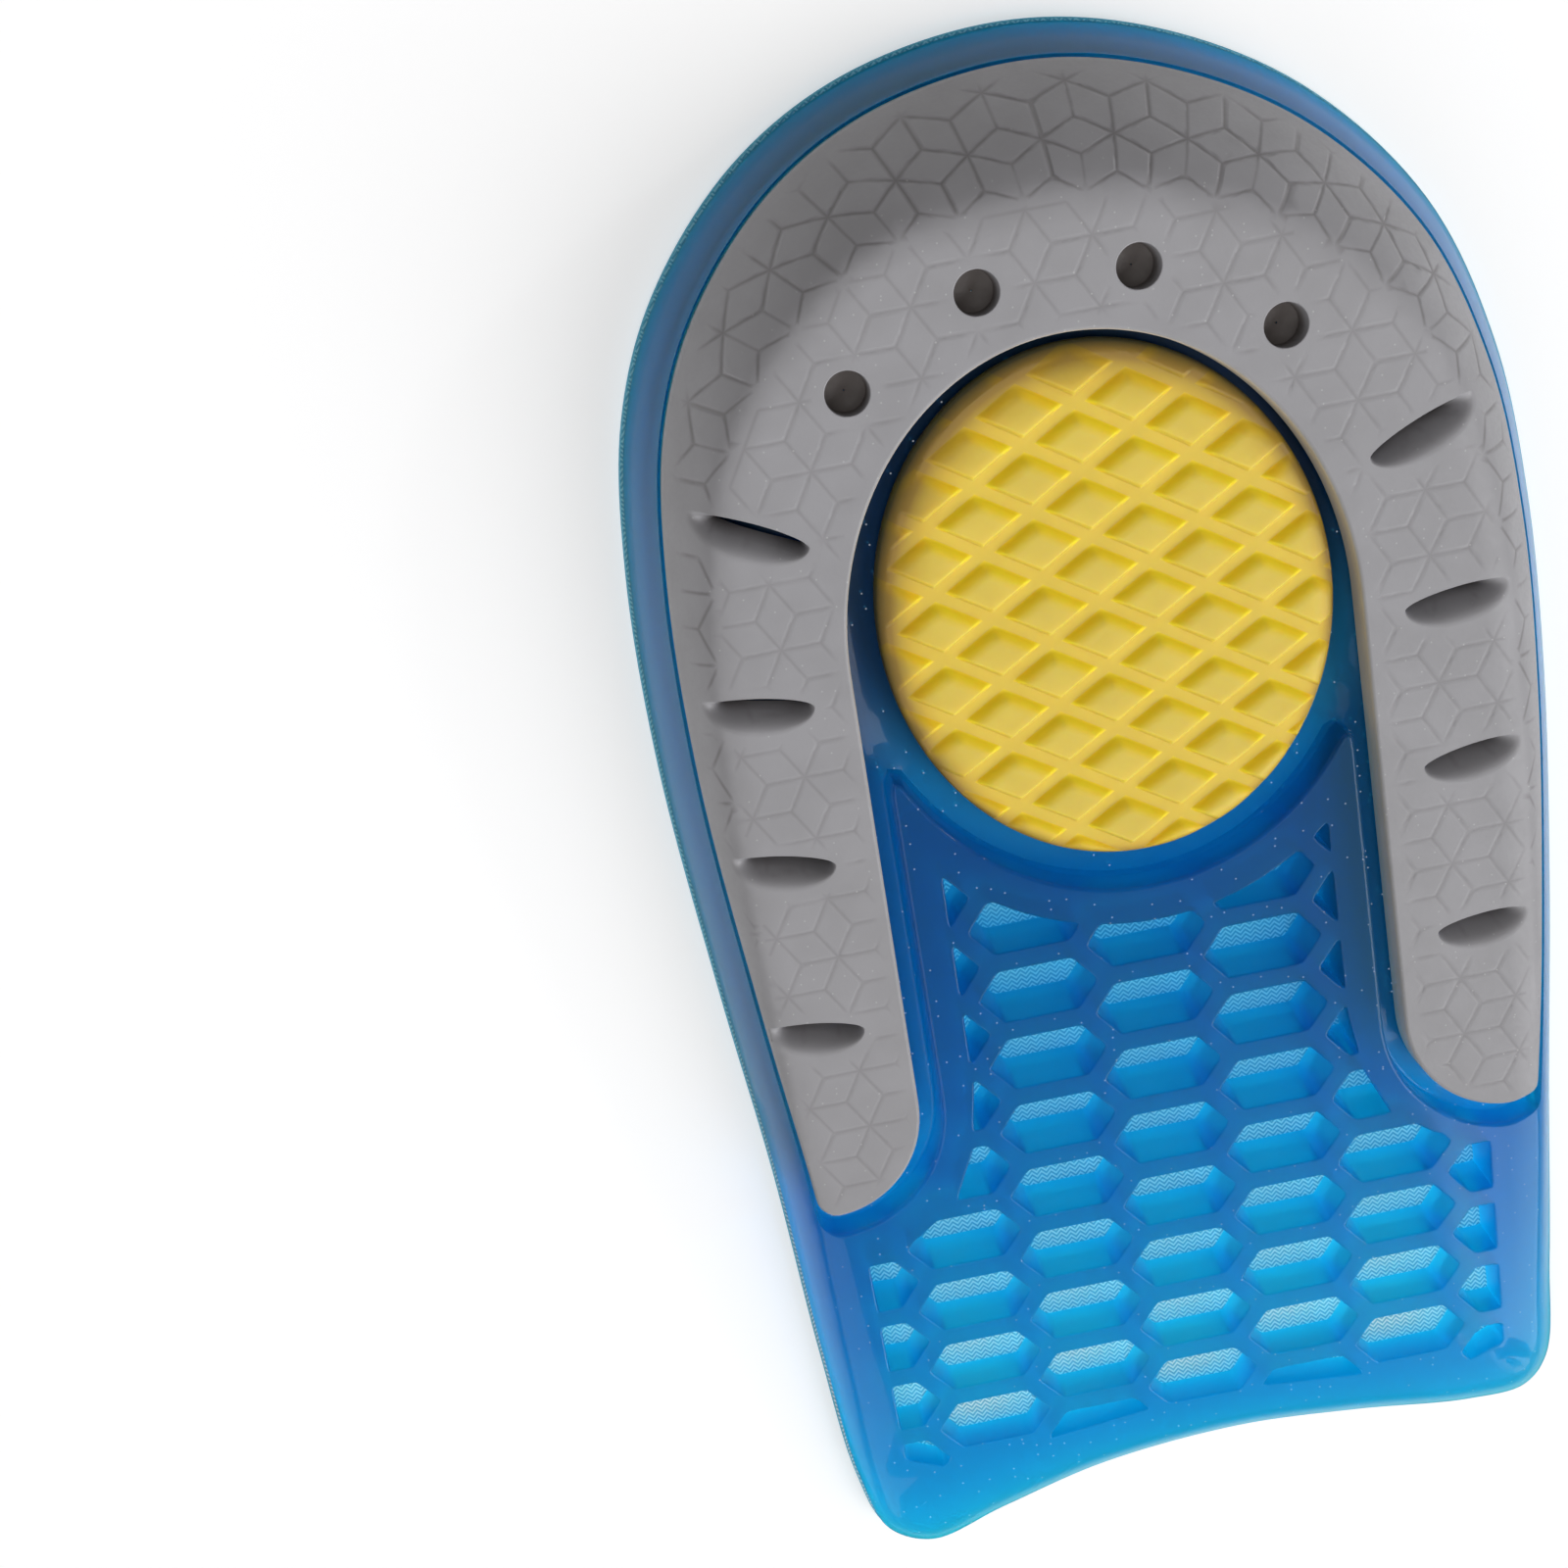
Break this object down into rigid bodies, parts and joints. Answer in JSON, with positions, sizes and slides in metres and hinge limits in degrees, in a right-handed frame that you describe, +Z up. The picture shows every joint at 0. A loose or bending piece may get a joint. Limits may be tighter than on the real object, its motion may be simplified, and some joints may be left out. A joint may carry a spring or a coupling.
{
  "type": "height-increasing half insole",
  "caption": "Clear blue gel half insole with a honeycomb front, a grey horseshoe heel support, a yellow diamond heel pad and a soft cover cloth, shown underside up.",
  "frame": {"origin": "on the table under the middle of the bounding box, with the insole lying underside up", "axes": "+Y towards the heel, +Z up away from the foot side, +X to the right seen from above"},
  "size_m": [0.064, 0.1104, 0.0149],
  "materials": {
    "gel": "clear blue soft gel, glossy",
    "grey_support": "satin grey foam rubber with a fine tile relief",
    "yellow_pad": "soft glossy yellow gel",
    "velour": "light blue short-pile cover cloth"
  },
  "bodies": {
    "root": {"gel_body": "gel", "support_horseshoe": "grey_support", "heel_pad": "yellow_pad", "cover_cloth": "velour"}
  },
  "joints": []
}
